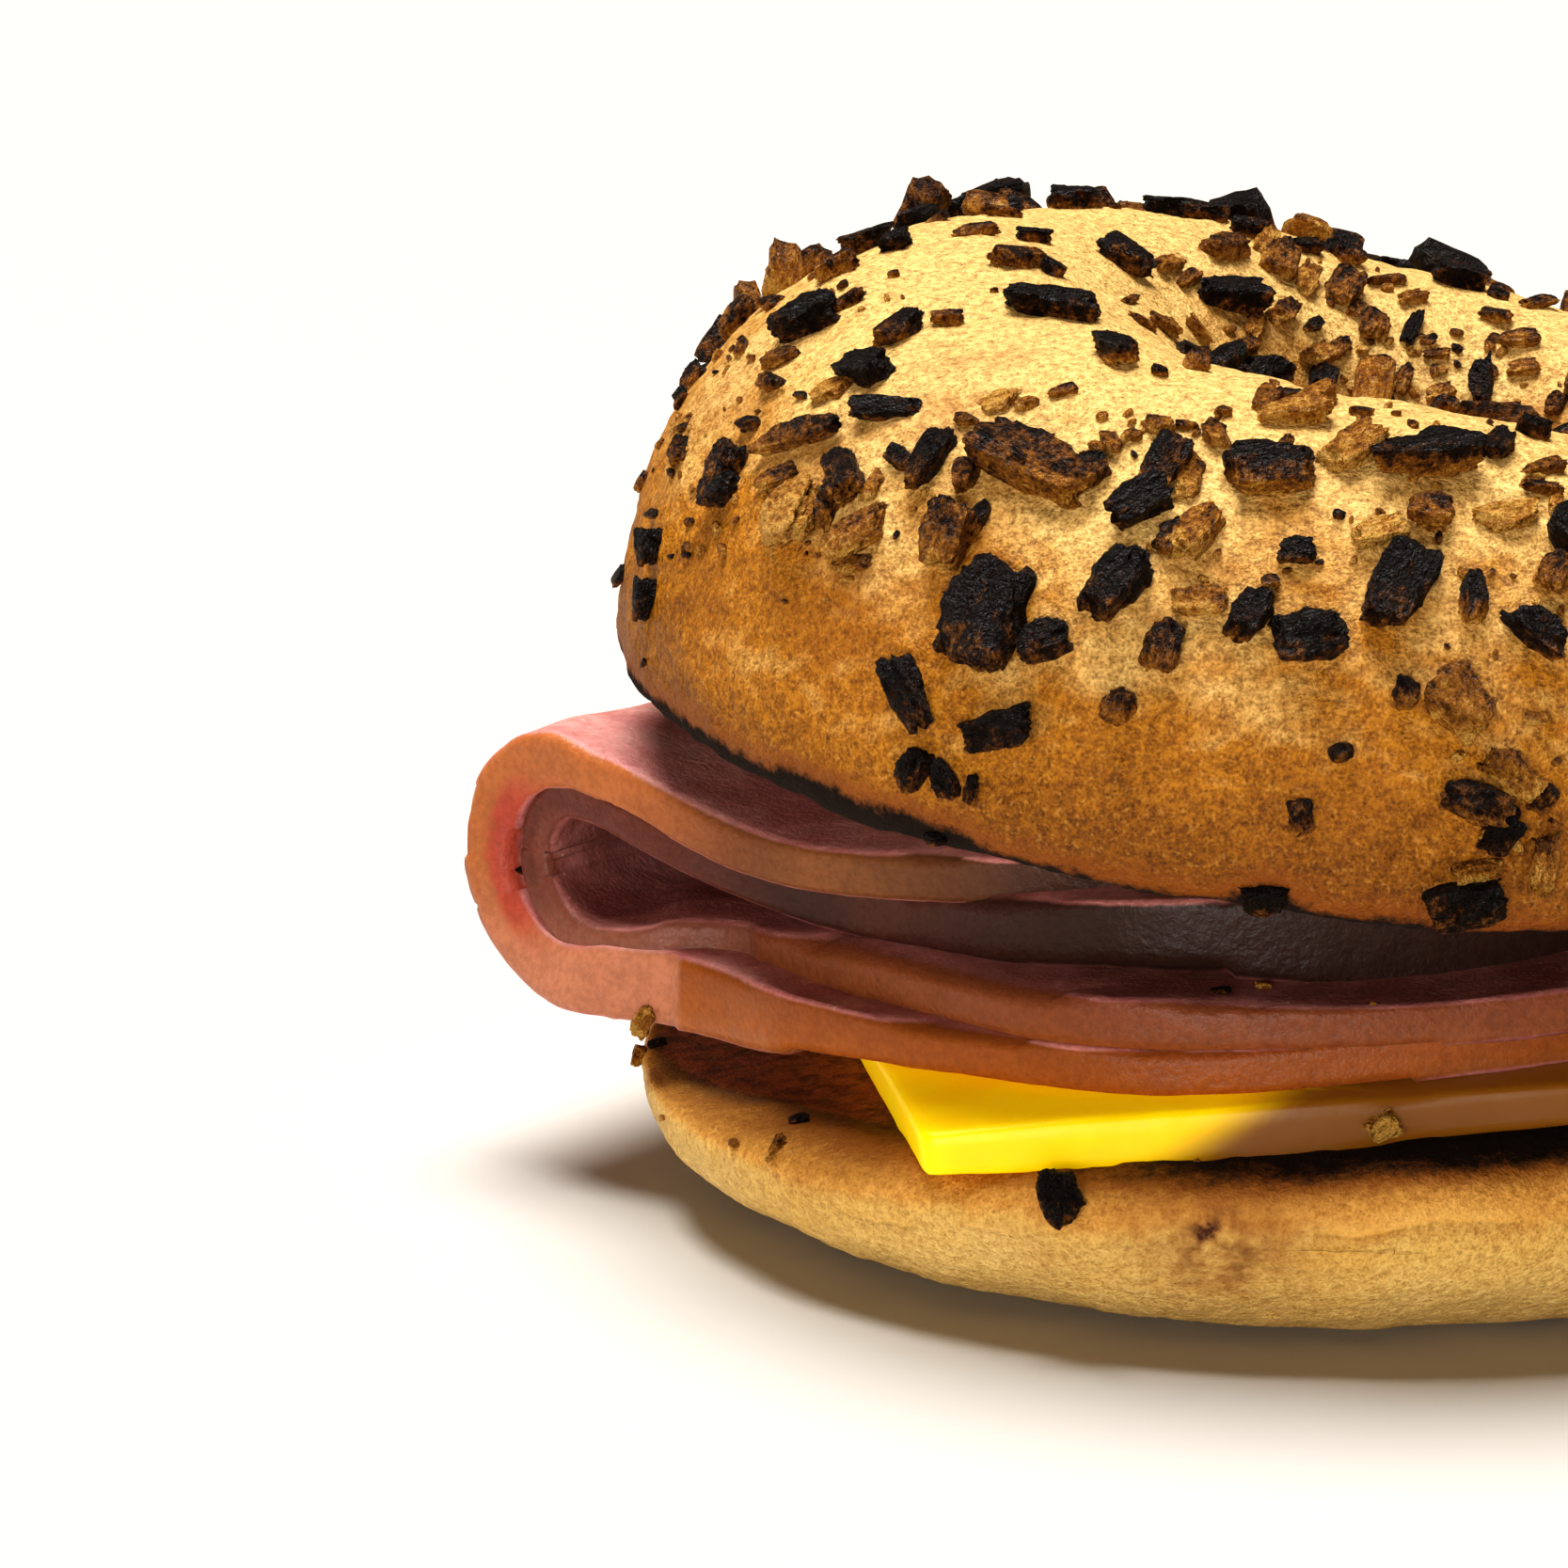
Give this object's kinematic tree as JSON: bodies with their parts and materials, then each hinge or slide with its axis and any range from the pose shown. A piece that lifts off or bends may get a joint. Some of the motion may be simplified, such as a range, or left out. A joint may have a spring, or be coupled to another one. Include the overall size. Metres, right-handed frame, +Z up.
{
  "type": "bagel sandwich",
  "caption": "Toasted onion bagel sliced in two, with folded ham and a slice of cheese between its halves, the upper half tilted.",
  "frame": {"origin": "middle of the footprint, on the surface that the sandwich rests on", "axes": "+X to the right, away from the ham's folds, along the longest side; -Y the front; +Z up"},
  "size_m": [0.1108, 0.0996, 0.0676],
  "materials": {
    "toasted_crust": "baked and toasted crust, golden to brown, with fine wrinkles and pores and darker scorched rims",
    "cooked_ham": "moist pink sliced ham with a browner rim",
    "processed_cheese": "smooth, slightly shiny, bright yellow",
    "toasted_onion": "dried onion flakes, charred black to golden brown"
  },
  "bodies": {
    "root": {"bagel_bottom": "toasted_crust", "cheese_slice": "processed_cheese", "ham_outer": "cooked_ham", "ham_inner": "cooked_ham", "bagel_top": "toasted_crust"}
  },
  "joints": []
}
